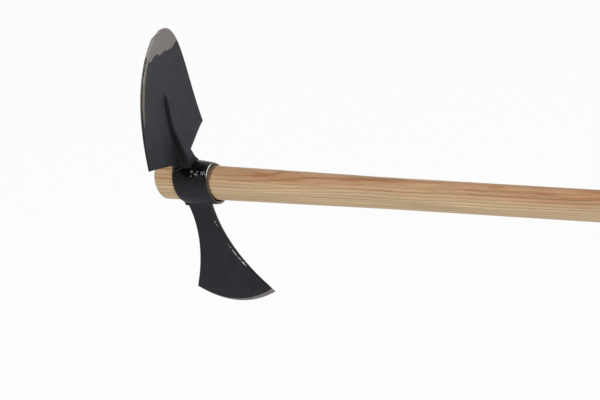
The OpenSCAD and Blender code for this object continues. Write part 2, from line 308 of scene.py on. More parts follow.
# %% The nodes that turn the handle
def handle_tree():
    """Nodes that sweep a circle along the handle's axis; the inputs are in millimetres."""
    tree = bpy.data.node_groups.new("turned_bar", "GeometryNodeTree")
    add = partial(add_node, tree)
    tree.interface.new_socket("Geometry", in_out="OUTPUT", socket_type="NodeSocketGeometry")
    tree.interface.new_socket("Wood", in_out="INPUT", socket_type="NodeSocketMaterial")
    for name in HANDLE_SIZES:
        tree.interface.new_socket(name, in_out="INPUT", socket_type="NodeSocketFloat")
    for name in HANDLE_COUNTS:
        tree.interface.new_socket(name, in_out="INPUT", socket_type="NodeSocketInt")
    given = add("NodeGroupInput").outputs

    # A point's distance from the sawn end. A sine wave crowds the points at both ends.
    line = add("GeometryNodeCurvePrimitiveLine", {"End": (1.0, 0.0, 0.0)})
    line = add("GeometryNodeResampleCurve", {"Curve": line, "Count": given["Rings"]})
    share = add("GeometryNodeSplineParameter")
    wave = add(MATH, {0: share, 1: math.tau}, operation="MULTIPLY")
    wave = add(MATH, {0: wave}, operation="SINE")
    wave = add(MATH, {0: wave, 1: CROWDING / math.tau}, operation="MULTIPLY")
    share = add(MATH, {0: share, 1: wave}, operation="SUBTRACT")
    reach = add(MATH, {0: share, 1: given["Length"]}, operation="MULTIPLY")

    # The saw cut leans back towards the top, and its lean dies out inside the eye. Both this
    # and the radius are noted down before the points move, because moving them changes shares.
    wedge_in = add(MATH, {0: given["Stub"], 1: given["Wedge half length"]}, operation="SUBTRACT")
    radius = bar_radius(add, given, reach, wedge_in)
    lean = add(RANGE, {"Value": reach, "From Max": wedge_in, "To Min": 1.0, "To Max": 0.0})
    slope = add(MATH, {0: given["Head rake"]}, operation="TANGENT")
    slope = add(MATH, {0: slope, 1: lean}, operation="MULTIPLY")
    kept = add("GeometryNodeCaptureAttribute")
    for field in ("Radius", "Slope"):
        kept.capture_items.new("FLOAT", field)
    for source, target in ((line, "Geometry"), (radius, "Radius"), (slope, "Slope")):
        tree.links.new(source.outputs[0], kept.inputs[target])

    # The points are laid along the axis, and the circle is swept over them.
    place = add(MATH, {0: reach, 1: given["Length"]}, operation="SUBTRACT")
    place = add(MATH, {0: place, 1: MM}, operation="MULTIPLY")
    place = add("ShaderNodeCombineXYZ", {"X": place})
    axis = add("GeometryNodeSetPosition", {"Geometry": kept.outputs["Geometry"], "Position": place})
    circle = add("GeometryNodeCurvePrimitiveCircle", {"Resolution": given["Sides"], "Radius": MM})
    tube = add("GeometryNodeCurveToMesh", {"Curve": axis, "Profile Curve": circle,
                                           "Scale": kept.outputs["Radius"], "Fill Caps": True})
    height = add("ShaderNodeSeparateXYZ", {0: add("GeometryNodeInputPosition")}).outputs["Z"]
    back = add(MATH, {0: height, 1: kept.outputs["Slope"]}, operation="MULTIPLY")
    back = add(MATH, {0: back, 1: -1.0}, operation="MULTIPLY")
    shift = add("ShaderNodeCombineXYZ", {"X": back})
    sawn = add("GeometryNodeSetPosition", {"Geometry": tube, "Offset": shift})
    real = add("GeometryNodeRealizeInstances", {"Geometry": sawn})
    wood = add("GeometryNodeSetMaterial", {"Geometry": real, "Material": given["Wood"]})
    add("NodeGroupOutput", {"Geometry": wood})
    return tree


# %% [markdown]
# A modifier runs the tree. Its inputs are set by each socket's identifier, and the result is
# then frozen into a plain mesh, because a finished piece keeps no live modifier.

# %% Run a tree and keep its result as a plain mesh
def run_tree(name, tree, values, start=None):
    """The mesh that a Geometry Nodes tree makes with these input values."""
    host = bpy.data.objects.new(name + "_host", start or bpy.data.meshes.new(name + "_host"))
    bpy.context.scene.collection.objects.link(host)
    modifier = host.modifiers.new("make", "NODES")
    modifier.node_group = tree
    for socket in tree.interface.items_tree:
        if socket.in_out == "INPUT" and socket.name in values:
            modifier[socket.identifier] = values[socket.name]
    graph = bpy.context.evaluated_depsgraph_get()
    made = bpy.data.meshes.new_from_object(host.evaluated_get(graph), depsgraph=graph)
    bpy.data.objects.remove(host)
    made.name = name
    return made


# %% [markdown]
# ## Ash wood
# Ash is a pale, coarse-grained wood. Each year leaves one dark line of open pores, some three
# millimetres from the next, so a turned bar shows close straight lines where the cut runs
# along the tree's radius and broad wandering flames where it runs along the rings. A flat
# image would show a seam where it meets itself round the bar. The pattern is therefore made
# in three dimensions: rings round a pith that lies outside the bar. The pith wanders a little
# along the handle, which bends the lines as real growth does.

# %% How the tree grew
YEAR = 3.0 * MM
# The pith runs 64 mm below the bar's axis and 4 mm beside it, turned a little from it.
PITH = (0.0, 4.0 * MM, 64.0 * MM)
PITH_TURN = (0.0, math.radians(0.9), math.radians(0.5))
# The grain wanders by up to 5 mm over a hand's length, and by 1 mm over a thumb's. Each row
# holds its waves' size on the three axes in millimetres, a seed, and twice how far they go.
WANDER = (((222.2, math.inf, math.inf), (3.1, 7.7, 1.9), (0.0, 10.0 * MM, 10.0 * MM)),
          ((71.43, 16.67, 16.67), (0.4, 0.8, 5.2), (0.0, 2.2 * MM, 2.2 * MM)))
print("a year's ring is", round(YEAR / MM, 1), "mm wide")


def growth(add, place):
    """Each point's place in the bent grain, its share of a year's ring, and its year."""
    bent = place
    for sizes, seed, width in WANDER:
        spot = add("ShaderNodeMapping", {"Vector": place, "Location": seed,
                                         "Scale": per_metre(*sizes)})
        drift = add(NOISE, {"Vector": spot, "Scale": 1.0, "Detail": 1.5})
        drift = add(VECTOR, {0: drift.outputs["Color"], 1: (0.5, 0.5, 0.5)}, operation="SUBTRACT")
        drift = add(VECTOR, {0: drift, 1: width}, operation="MULTIPLY")
        bent = add(VECTOR, {0: bent, 1: drift}, operation="ADD")
    # The pith runs below the bar and climbs slowly towards the butt.
    pith = add("ShaderNodeMapping", {"Vector": bent, "Location": PITH, "Rotation": PITH_TURN})
    across = add(VECTOR, {0: pith, 1: (0.0, 1.0, 1.0)}, operation="MULTIPLY")
    reach = add(VECTOR, {0: across}, operation="LENGTH").outputs["Value"]
    years = add(MATH, {0: reach, 1: YEAR}, operation="DIVIDE")
    phase = add(MATH, {0: years}, operation="FRACT")
    year = add(MATH, {0: years}, operation="FLOOR")
    return bent, phase, year


# %% The dark line of each year
# How dark the line is at each share of a ring: sharp on the inside and fading outwards.
PORE_LINE = ((0.05, 1.0), (0.14, 0.8), (0.26, 0.18), (0.60, 0.0), (0.90, 0.05))
PORE_LINE_END = (0.3, 0.3, 0.3, 1.0)


def pore_lines(add, phase, year):
    """How dark each year's line of pores is. Some years are faint."""
    line = add("ShaderNodeValToRGB", {"Fac": phase})
    ramp = line.color_ramp.elements
    ramp[0].color = PORE_LINE_END
    ramp[1].color = PORE_LINE_END
    for spot, level in PORE_LINE:
        ramp.new(spot).color = (level, level, level, 1.0)
    mood = add(NOISE, {"W": year, "Scale": 3.7, "Detail": 0.0}, noise_dimensions="1D")
    mood = add(RANGE, {"Value": mood, "From Min": 0.3, "From Max": 0.7, "To Min": 0.3,
                       "To Max": 0.85})
    return add(MATH, {0: line, 1: mood}, operation="MULTIPLY")


# %% [markdown]
# Over the rings lie finer marks, all drawn out along the bar: open pores, their streaks, soft
# patches, and short reddish flames where the bar's top is cut flat to the rings. Each is
# a noise that is stretched to the mark's real length and width.

# %% The colours between the lines
# The warm colours lie along the bar's top, darker than the flanks partly as the wood's tone and
# partly as painted shade.
WOOD_LATE, WOOD_LATE_WARM = srgb("#c6ac88"), srgb("#b3875f")
WOOD_PORES, WOOD_PORES_WARM = srgb("#80603e"), srgb("#70401f")
WOOD_FLAME = srgb("#96582f")
# The length and width of each mark in millimetres, with its seed and detail.
WOOD_MARKS = {
    "pores": (16.67, 0.4167, (0.0, 0.0, 0.0), 2.0),
    "streaks": (125.0, 2.5, (2.0, 0.3, 0.9), 3.0),
    "patches": (250.0, 22.22, (5.0, 1.3, 2.9), 2.0),
    "flames": (38.46, 3.571, (1.7, 0.6, 4.4), 2.0),
}


def wood_marks(add, place):
    """The noise of each kind of mark, by its name."""
    marks = {}
    for name, (length, width, seed, detail) in WOOD_MARKS.items():
        spot = add("ShaderNodeMapping", {"Vector": place, "Location": seed,
                                         "Scale": per_metre(length, width, width)})
        marks[name] = add(NOISE, {"Vector": spot, "Scale": 1.0, "Detail": detail})
    return marks


def wood_colour(add, bent, rings, marks, pore):
    """Pale wood on the flanks; on top warmer, darker wood, partly its own tone and partly painted
    shade, with flames; and the lines and pores.
    """
    height = add("ShaderNodeSeparateXYZ", {0: bent}).outputs["Z"]
    warm_and_shaded_top = add(RANGE, {"Value": height, "From Min": 1.0 * MM, "From Max": 15.0 * MM},
               interpolation_type="SMOOTHSTEP")
    patch = add(RANGE, {"Value": marks["patches"], "From Min": 0.35, "From Max": 0.65,
                        "To Min": 0.4})
    warm_and_shaded_top = add(MATH, {0: warm_and_shaded_top, 1: patch}, operation="MULTIPLY")
    late = add(MIX, {"Factor": warm_and_shaded_top, "A": WOOD_LATE, "B": WOOD_LATE_WARM}, data_type="RGBA")
    early = add(MIX, {"Factor": warm_and_shaded_top, "A": WOOD_PORES, "B": WOOD_PORES_WARM}, data_type="RGBA")
    colour = add(MIX, {"Factor": rings, "A": late, "B": early}, data_type="RGBA")
    flame = add(RANGE, {"Value": marks["flames"], "From Min": 0.50, "From Max": 0.64,
                        "To Max": 0.6})
    flame = add(MATH, {0: flame, 1: warm_and_shaded_top}, operation="MULTIPLY")
    colour = add(MIX, {"Factor": flame, "A": colour, "B": WOOD_FLAME}, data_type="RGBA")
    fleck = add(RANGE, {"Value": marks["streaks"], "From Min": 0.3, "From Max": 0.7,
                        "To Min": 0.80, "To Max": 1.12})
    tone = add(MATH, {0: fleck, 1: pore}, operation="MULTIPLY")
    return add(VECTOR, {0: colour, 1: tone}, operation="MULTIPLY")


# %% [markdown]
# Rusting steel stains ash dark where they touch, and the gap at the eye's mouth lies in shade;
# the dark band here is partly that stain and partly painted shade. It is a ragged band at the
# mouth of the eye, which is cut off at a lean. So it is found from how far a point lies beyond
# that leaning plane, and not from a distance along the bar.

# %% The stain and painted shade at the eye's mouth
EYE_HALF = 20.5
EYE_LEAN = tan_deg(12.0)
MOUTH_X = -(EYE.x + EYE_HALF) * MM
MOUTH_STAIN_AND_SHADE = srgb("#4a3828")
print("the eye's mouth crosses the bar's axis", round(MOUTH_X / MM, 1), "mm from the butt")


def mouth_stain_and_shade(add, place):
    """How dark each point is made, partly rust stain and partly painted shade: a ragged band that
    reaches out further on top.
    """
    spread = add("ShaderNodeSeparateXYZ", {0: place}).outputs
    lean = add(MATH, {0: spread["Z"], 1: EYE_LEAN}, operation="MULTIPLY")
    beyond = add(MATH, {0: spread["X"], 1: lean}, operation="ADD")
    beyond = add(MATH, {0: beyond, 1: MOUTH_X}, operation="ADD")
    speck = add(NOISE, {"Vector": place, "Scale": per_metre(2.381)[0], "Detail": 4.0,
                        "Roughness": 0.7})
    speck = add(MATH, {0: speck, 1: 0.5}, operation="SUBTRACT")
    speck = add(MATH, {0: speck, 1: 9.0 * MM}, operation="MULTIPLY")
    upper = add(RANGE, {"Value": spread["Z"], "From Min": 9.0 * MM, "From Max": 16.5 * MM,
                        "To Max": 3.0 * MM})
    speck = add(MATH, {0: speck, 1: upper}, operation="SUBTRACT")
    stain_and_shade = add(MATH, {0: beyond, 1: speck}, operation="ADD")
    stain_and_shade = add(RANGE, {"Value": stain_and_shade, "From Min": 2.6 * MM, "From Max": 0.8 * MM,
                        "To Max": 0.85})
    within = add(RANGE, {"Value": beyond, "From Min": -12.0 * MM, "From Max": -10.0 * MM})
    return add(MATH, {0: stain_and_shade, 1: within}, operation="MULTIPLY")


# %% The wood's material
# Ash, turned, sanded and thinly oiled, is nearly matt. The oil gives it a soft sheen, which
# the open pores break up along the bar.
def oiled_ash():
    """The handle's wood: rings with dark lines of pores, finer marks, and the rust stain and painted
    shade at the eye's mouth.
    """
    material, tree, shader = new_material("oiled_ash", {"Specular IOR Level": 0.28})
    add = partial(add_node, tree)
    place = add("ShaderNodeTexCoord").outputs["Object"]
    bent, phase, year = growth(add, place)
    rings = pore_lines(add, phase, year)
    marks = wood_marks(add, place)
    pore = add(RANGE, {"Value": marks["pores"], "From Min": 0.56, "From Max": 0.72,
                       "To Min": 1.0, "To Max": 0.74})
    colour = wood_colour(add, bent, rings, marks, pore)
    stain_and_shade = mouth_stain_and_shade(add, place)
    colour = add(MIX, {"Factor": stain_and_shade, "A": colour, "B": MOUTH_STAIN_AND_SHADE}, data_type="RGBA")
    rough = add(RANGE, {"Value": marks["streaks"], "To Min": 0.42, "To Max": 0.62})
    # The lines and the pores are sunk a little into the surface.
    depth = add(MATH, {0: rings, 1: pore}, operation="SUBTRACT")
    bump = add("ShaderNodeBump", {"Height": depth, "Strength": 0.25, "Distance": -0.2 * MM})
    for node, target in ((colour, "Base Color"), (rough, "Roughness"), (bump, "Normal")):
        tree.links.new(result_of(node), shader.inputs[target])
    print(material.name, "has", len(tree.nodes), "nodes")
    return material


# %% Turn the handle
handle_values = {**HANDLE_SIZES, **HANDLE_COUNTS, "Wood": oiled_ash()}
turned_handle = finish_piece("turned_handle", run_tree("turned_handle", handle_tree(), handle_values))
note_sizes(turned_handle, "handle")
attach(turned_handle, "root")
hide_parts("handle")

# %% [markdown]
# ## Lacquer over forged steel
# The head is forged from carbon steel. Black stoving lacquer lies thin over the scale of the
# forge: dipped and glossy on the eye and the axe, sprayed and matt on the leaf. Grinding
# takes it off again at the leaf's tip and along the edges. An image could show where, but
# its border would blur close up. So every point of a piece stores four numbers instead:
# - bare says how many millimetres the point lies inside ground steel,
# - raw how brown and unpolished that steel is,
# - worn how brightly it is rubbed,
# - dust_and_painted_light goes from 0 for fresh black lacquer to 1 where it is grey and dull:
#   partly real dust, partly painted light and shade, grey where a face is lit or would mirror
#   the floor and black where it lies in shade.
#
# The material breaks the border of the ground steel up with noise, because a grinding wheel
# never leaves a clean line.

# %% Bare steel
# Forged carbon steel, ground with a coarse wheel: a soft grey metal, brownish where heat or
# rust has touched it. Its scratches run across the blade. They are drawn 17 mm long and
# 0.4 mm apart, coarser than a real wheel's, so that they show.
STEEL_WARM, STEEL_COOL = srgb("#877d75"), srgb("#7e7d7d")
STEEL_RAW, STEEL_WORN = srgb("#736a5f"), srgb("#e6e2df")
STEEL_ROUGH = 0.46
SCRATCH_TURN = (math.radians(24.0), 0.0, 0.0)


def stored(add, name):
    """A number that the piece stores on its points."""
    return add("ShaderNodeAttribute", attribute_name=name).outputs["Fac"]


def ground_steel(add, place):
    """The colour of bare steel, and the height of the scratches in it."""
    spot = add("ShaderNodeMapping", {"Vector": place, "Rotation": SCRATCH_TURN,
                                     "Scale": per_metre(1.111, 16.67, 0.3846)})
    scratch = add(NOISE, {"Vector": spot, "Scale": 1.0, "Detail": 2.0})
    heat = add(NOISE, {"Vector": place, "Scale": per_metre(14.29)[0], "Detail": 2.0})
    bright = add(MIX, {"Factor": heat, "A": STEEL_WARM, "B": STEEL_COOL}, data_type="RGBA")
    shade = add(RANGE, {"Value": scratch, "From Min": 0.3, "From Max": 0.7, "To Min": 0.72,
                        "To Max": 1.2})
    bright = add(VECTOR, {0: bright, 1: shade}, operation="MULTIPLY")
    raw, worn = stored(add, "raw"), stored(add, "worn")
    bright = add(MIX, {"Factor": raw, "A": bright, "B": STEEL_RAW}, data_type="RGBA")
    bright = add(MIX, {"Factor": worn, "A": bright, "B": STEEL_WORN}, data_type="RGBA")
    return bright, scratch


# %% Where the lacquer ends
# The border strays by up to half of this to either side, in millimetres.
BORDER_RAG = 3.0


def bare_share(add, place):
    """1 on bare steel and 0 on lacquer, with a ragged border."""
    ragged = add(NOISE, {"Vector": place, "Scale": per_metre(2.381)[0], "Detail": 3.0})
    ragged = add(MATH, {0: ragged, 1: 0.5}, operation="SUBTRACT")
    ragged = add(MATH, {0: ragged, 1: BORDER_RAG}, operation="MULTIPLY")
    ground = add(MATH, {0: stored(add, "bare"), 1: ragged}, operation="ADD")
    return add(RANGE, {"Value": ground, "From Min": -0.2, "From Max": 0.25})


# %% The material of the head
# How rough the lacquer looks where its share of dust and painted light is full.
DUST_ROUGH = 0.58


def lacquer(name, fresh, dusty_and_lit, rough, specular, wave_size, wave_depth):
    """Black lacquer with waves of this size and depth in mm, over steel that is bare in places."""
    material, tree, shader = new_material(name, {"Specular IOR Level": specular})
    add = partial(add_node, tree)
    place = add("ShaderNodeTexCoord").outputs["Object"]
    cloud = add(NOISE, {"Vector": place, "Scale": per_metre(18.18)[0], "Detail": 4.0,
                        "Roughness": 0.6})
    # Dust settles in clouds, and in runs down the blades as the lacquer ran when it was wet.
    spot = add("ShaderNodeMapping", {"Vector": place, "Scale": per_metre(3.333, 3.333, 45.45)})
    runs = add(NOISE, {"Vector": spot, "Scale": 1.0, "Detail": 3.0})
    tone = add(MATH, {0: cloud, 1: runs}, operation="ADD")
    tone = add(RANGE, {"Value": tone, "From Min": 0.78, "From Max": 1.22, "To Min": 0.72,
                       "To Max": 1.20})
    dust_and_painted_light = add(MATH, {0: stored(add, "dust_and_painted_light"), 1: tone}, operation="MULTIPLY")
    paint = add(MIX, {"Factor": dust_and_painted_light, "A": srgb(fresh), "B": srgb(dusty_and_lit)}, data_type="RGBA")
    steel, scratch = ground_steel(add, place)
    bare = bare_share(add, place)
    colour = add(MIX, {"Factor": bare, "A": paint, "B": steel}, data_type="RGBA")

    dull = add(RANGE, {"Value": cloud, "From Min": 0.3, "From Max": 0.7,
                       "To Min": rough - 0.03, "To Max": rough + 0.07})
    dull = add(MIX, {"Factor": dust_and_painted_light, "A": dull, "B": DUST_ROUGH}, data_type="FLOAT")
    dull = add(MIX, {"Factor": bare, "A": dull, "B": STEEL_ROUGH}, data_type="FLOAT")

    waves = add(NOISE, {"Vector": place, "Scale": per_metre(wave_size)[0], "Detail": 2.0})
    bump = add("ShaderNodeBump", {"Height": waves, "Strength": 1.0, "Distance": wave_depth * MM})
    grain = add(NOISE, {"Vector": place, "Scale": per_metre(0.625)[0], "Detail": 2.0})
    both = add(MIX, {"Factor": bare, "A": grain, "B": scratch}, data_type="FLOAT")
    bump = add("ShaderNodeBump", {"Height": both, "Strength": 1.0, "Distance": 0.03 * MM,
                                  "Normal": bump})
    for node, target in ((colour, "Base Color"), (bare, "Metallic"), (dull, "Roughness"),
                         (bump, "Normal")):
        tree.links.new(result_of(node), shader.inputs[target])
    print(material.name, "has", len(tree.nodes), "nodes")
    return material


# %% Mix the three lacquers
# Glossy stoving lacquer, dipped: it mirrors a lamp sharply, and its waves, three millimetres
# across, break that mirror into small flecks.
gloss_lacquer = lacquer("gloss_lacquer", "#08080a", "#28282d", rough=0.06, specular=0.12,
                        wave_size=2.9, wave_depth=0.60)
# Matt lacquer, sprayed on the leaf: an even dark grey that shows a lamp only as a soft glow.
matt_lacquer = lacquer("matt_lacquer", "#121215", "#323238", rough=0.55, specular=0.14,
                       wave_size=6.0, wave_depth=0.10)
# Lacquer brushed over the welds: half glossy, so that each ripple keeps a soft glint. Its grey is
# lighter than the others' as a painted highlight on the axe's bead.
weld_lacquer = lacquer("weld_lacquer", "#0c0c0e", "#36353b", rough=0.26, specular=0.09,
                       wave_size=1.6, wave_depth=0.10)

# %% [markdown]
# ## The eye
# The eye is a short barrel of forged steel with a tapered hole, cut off at a lean at both
# ends so that the blades stand raked to the handle. It could be cut from a cylinder with
# a Boolean, but that leaves long thin faces at the rims. Here its wall is a closed loop: out
# over the barrel, round a rim, back through the bore and round the other rim. Slices of that
# loop are rings round the handle, so the stack runs endlessly into itself. The bore opens
# a little at both mouths, where the wood stands free of the steel and a dark gap shows.

# %% The sizes of the eye
# The bore's radius at the head's end, and how fast it narrows towards the grip.
EYE_BORE, EYE_TAPER = 20.2, 1.6 / 41.0
# The wall's thickness at both ends, and how much further out the barrel's belly stands.
WALL_TOP, BELLY_TOP = 3.2, 1.3
WALL_SIDE, BELLY_SIDE = 2.7, 1.7
# How deep and how long each rim is rounded.
RIM_DEEP, RIM_LONG = 0.9, 1.7


def eye_bore(x):
    """The bore's radius on the section x."""
    return EYE_BORE - EYE_TAPER * (x + EYE_HALF)


def eye_point(x, angle, out=0.0):
    """Points of the barrel's outside on the leaning section x, at angles round from the top."""
    belly = 1.0 - (x / EYE_HALF) ** 2
    z = (eye_bore(x) + WALL_TOP + BELLY_TOP * belly + out) * np.cos(angle)
    y = (eye_bore(x) + WALL_SIDE + BELLY_SIDE * belly + out) * np.sin(angle)
    return np.stack([x - EYE_LEAN * z, y, z], -1)


def bore_point(x, angle, out=0.0):
    """Points of the bore, or out millimetres outside it, on the leaning section x."""
    radius = eye_bore(x) / (1.0 - EYE_TAPER * EYE_LEAN * np.cos(angle)) + out
    z = radius * np.cos(angle)
    return np.stack([x - EYE_LEAN * z, radius * np.sin(angle), z], -1)


# The eye's outer radius over its middle, at the top and at the sides.
EYE_TOP = eye_bore(0.0) + WALL_TOP + BELLY_TOP
EYE_SIDE = eye_bore(0.0) + WALL_SIDE + BELLY_SIDE
print("eye:", 2 * EYE_HALF, "mm long and", round(2 * EYE_SIDE, 1), "mm wide outside")

# %% Slice the eye's wall
EYE_ANGLES = np.linspace(0.0, math.tau, 240, endpoint=False)
RIM_RINGS = 7
BELLY_RINGS = 46
# The mouth of the bore: how deep in each ring lies, and its share of the mouth's gap. The
# gap at the grip is given over and under the wood, and the gap at the head all round.
MOUTH = ((0.0, 1.12), (0.06, 1.04), (0.3, 1.0), (2.0, 0.62), (5.0, 0.2))
GAP_TOP, GAP_LOW, GAP_HEAD = 0.75, 1.5, 0.7
# The lip: how far the grip's end is flared underneath, where that starts, and its length.
LIP_OUT, LIP_START, LIP_LONG = 0.9, 4.0, 14.0
# 0 over the top of the eye and 1 along its underside.
UNDERSIDE = smooth((0.35 - np.cos(EYE_ANGLES)) / 1.1)


def barrel_slices():
    """Where each ring of the outside lies along the eye, and how far out it stands."""
    turn = np.radians(np.linspace(90.0, 0.0, RIM_RINGS))
    rim = [(EYE_HALF - RIM_LONG * (1 - math.sin(t)), -RIM_DEEP * (1 - math.cos(t))) for t in turn]
    flat = EYE_HALF - RIM_LONG
    belly = [(x, 0.0) for x in np.linspace(-flat, flat, BELLY_RINGS)[1:-1]]
    return [(-x, out) for x, out in rim] + belly + rim[::-1]


def eye_wall(slices):
    """The rings of the whole wall: out over the barrel and back through the bore."""
    rings = []
    for x, out in slices:
        lip = LIP_OUT * UNDERSIDE * smooth((x - LIP_START) / LIP_LONG)
        rings.append(eye_point(x, EYE_ANGLES, out + lip))
    gap = lerp(GAP_TOP, GAP_LOW, UNDERSIDE)
    rings += [bore_point(EYE_HALF - deep, EYE_ANGLES, out * gap) for deep, out in MOUTH]
    inside = EYE_HALF - 8.0
    rings += [bore_point(x, EYE_ANGLES) for x in np.linspace(inside, -inside, 6)]
    rings += [bore_point(deep - EYE_HALF, EYE_ANGLES, out * GAP_HEAD) for deep, out in MOUTH[::-1]]
    return np.array(rings)


# %% Finish the eye's surface
# Where the bright stretch of the rim lies, measured from the top towards negative Y.
BRIGHT_ANGLE = math.radians(23.0)


def finish_eye(piece, count, first, last):
    """Bare sawn ends, one stretch of the grip's rim rubbed bright, and a painted reflection: black
    lacquer on top, grey down the sides and underneath.
    """
    bare = np.full((count, len(EYE_ANGLES)), -4.0)
    worn = np.zeros_like(bare)
    rubbed = smooth((np.cos(EYE_ANGLES + BRIGHT_ANGLE) - 0.82) / 0.13)
    for j in range(first, last):
        bare[j] = lerp(-3.4, 1.4, (j - first) / (RIM_RINGS - 1)) + 0.9 * rubbed
        worn[j] = rubbed * smooth((j - first - 2.5) / 1.5) * smooth((last - j) / 2.0)
    # The faces of both ends stayed raw: the grip's fully, the head's only in patches.
    bare[last:last + 4] = 3.0
    bare[:3] = 0.4
    bare[-2:] = 0.6
    keep_values(piece, "bare", bare)
    keep_values(piece, "worn", worn)
    keep_values(piece, "raw", np.ones_like(bare))
    # Painted reflection: the lacquer is black on top and turns grey down the sides and underneath, as
    # if it mirrored the white floor.
    keep_values(piece, "dust_and_painted_light", np.tile(smooth(0.8 - np.cos(EYE_ANGLES)), (count, 1)))
    piece.data.materials.append(gloss_lacquer)


# %% Forge the eye
def forged_eye():
    """The eye, with an outside that the hammer has left slightly uneven."""
    slices = barrel_slices()
    rings = eye_wall(slices)
    for j in range(len(slices)):
        for i, p in enumerate(rings[j]):
            dent = noise.noise(Vector(p) / 11.0) * 0.22 + noise.noise(Vector(p) / 4.5) * 0.07
            away = np.array([0.0, p[1], p[2]]) / math.hypot(p[1], p[2])
            rings[j, i] = p + away * (dent - 0.12)
    piece = skin("forged_eye", rings, endless=True)
    finish_eye(piece, len(rings), len(slices) - RIM_RINGS, len(slices))
    return piece


eye = forged_eye()
note_sizes(eye, "eye_collar")
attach(eye, "root")
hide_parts("eye_collar")

# %% [markdown]
# ## The hoe blade
# The blade is a leaf of plate, dished slightly across and bent along its length. A rib on the
# middle of its face stiffens it and widens into the neck above the eye. On both sides of the
# neck the plate's lower edge is drawn forward as a web. It could be sculpted, but such
# a blade is a relief: over each place in the leaf's outline it has one height in front and one
# behind. So a fine grid is laid over the outline, and each point is pushed forwards by the
# plate's bend, by the web and by the rib, whose foot is filleted into the face.

# %% The sizes of the leaf
# The outline: half its width, the heights of its shoulders and its tip, how far the lower
# edge falls to its middle, how much it narrows upwards and how blunt its point is.
HOE_WIDE, SHOULDER, TIP, SHOULDER_FALL = 65.0, 41.5, 177.5, 19.5
LEAF_NARROW, LEAF_POINT = 0.27, 3.7
# The plate: the radius and height of its bend, how far its face stands behind the eye's
# centre, the depth of its dish, and its thickness, which falls to the edge over the bevel.
BEND, BEND_Z, FACE_BACK, DISH = 475.0, 92.0, 24.2, 1.2
PLATE, PLATE_EDGE, BEVEL = 4.5, 1.4, 6.0
# How far the web is drawn forward, and the heights where it starts and is full. Behind the
# neck the back stays flat, and joins the web from this far out and over as much again.
WEB, WEB_TOP, WEB_LOW = 6.5, 80.0, 33.0
WEB_BACK = 12.0
# The rib's height off the plate, its half width, where it ends, and its foot's fillet.
RIB, RIB_HALF, RIB_TOP, RIB_FILLET = 4.6, 4.6, 101.5, 2.2
# Where the neck starts to widen and to rise, and by how much it does down to the eye.
NECK_Z, NECK_START, NECK_RISE, NECK_SPREAD = 64.0, 72.0, 11.0, 6.0
# The neck's foot: how far it flares out on to the eye, from which height, and over what drop.
FOOT_OUT, FOOT_TOP, FOOT_LONG = 2.6, 28.5, 5.0
# Its root follows a circle inside the eye's wall, down to a least height beside the neck;
# then its half width and the ease of its corners.
ROOT_RADIUS, ROOT_LEAST, ROOT_HALF, ROOT_EASE = 21.5, 10.0, 11.0, 1.8
print("leaf:", 2 * HOE_WIDE, "mm wide and", TIP - SHOULDER + SHOULDER_FALL, "mm long")


# %% The heights of the leaf's face
def leaf_half(v):
    """Half the leaf's width, from its shoulders at 0 to its tip at 1."""
    return HOE_WIDE * (1.0 - LEAF_NARROW * v) * np.sqrt(1.0 - v ** LEAF_POINT)


def plate_face(u, z):
    """How far forward the plate's face stands, at a share u of its half width."""
    bend = BEND - np.sqrt(BEND ** 2 - (z - BEND_Z) ** 2)
    return bend - FACE_BACK - DISH * (1.0 - u ** 2)


def web(y, z):
    """How far the plate is drawn forward on both sides of the neck, most at its lower edge."""
    low = np.clip((WEB_TOP - z) / (WEB_TOP - WEB_LOW), 0.0, 1.0) ** 3
    return WEB * low * (1.0 - np.minimum(np.abs(y) / HOE_WIDE, 1.0))


def rib_face(y, z):
    """How far forward the rib and the neck stand, sinking away steeply at their flanks."""
    share = np.clip((NECK_Z - z) / (NECK_Z - EYE_TOP), 0.0, 1.2)
    climb = smooth((NECK_START - z) / (NECK_START - EYE_TOP))
    over = np.maximum(z - NECK_Z, 0.0) / (RIB_TOP - NECK_Z)
    fade = np.sqrt(np.clip(1.0 - over ** 6, 1e-4, 1.0))
    # The neck's last few millimetres flare out on to the eye in a quarter circle.
    flare = np.clip((FOOT_TOP - z) / FOOT_LONG, 0.0, 0.98)
    flare = FOOT_OUT * (1.0 - np.sqrt(1.0 - flare ** 2))
    rise = RIB * fade + NECK_RISE * climb + flare
    half = RIB_HALF * fade ** 1.5 + NECK_SPREAD * share ** 1.4 + 0.5 * flare
    # The rib's section is round, and the neck's is nearly square.
    arch = 1.0 - np.minimum(np.abs(y) / half, 3.0) ** (3.2 + 15.0 * climb)
    foot = plate_face(0.0, z) - PLATE / 2
    face = foot + (rise + PLATE / 2) * np.maximum(arch, -4.0)
    return np.where(z < RIB_TOP, face, -90.0)


def soft_max(a, b, width):
    """The higher of two heights, with their crease filled over the given width."""
    near = np.maximum(width - np.abs(a - b), 0.0) / width
    return np.maximum(a, b) + near ** 2 * width / 4.0


def quarter(distance, radius):
    """A quarter circle's rise from 0 to 1 over its radius."""
    return np.sqrt(1.0 - (1.0 - np.clip(distance / radius, 0.0, 1.0)) ** 2)


# %% Lay a grid over the leaf
# The columns crowd round the neck and at the rim, and the rows at the lower edge and the tip.
NEAR_NECK, NECK_STEP = 13.0, 0.42
FAR_NECK, FAR_COLUMNS = 57.5, 22
RIM_INSETS = np.array([6.0, 4.8, 3.6, 2.6, 1.7, 1.0, 0.6, 0.35, 0.18, 0.08, 0.02, 0.0])
LOW_ROWS = np.array([0.0, 0.0004, 0.0015, 0.0035, 0.0065])
ROWS = 165


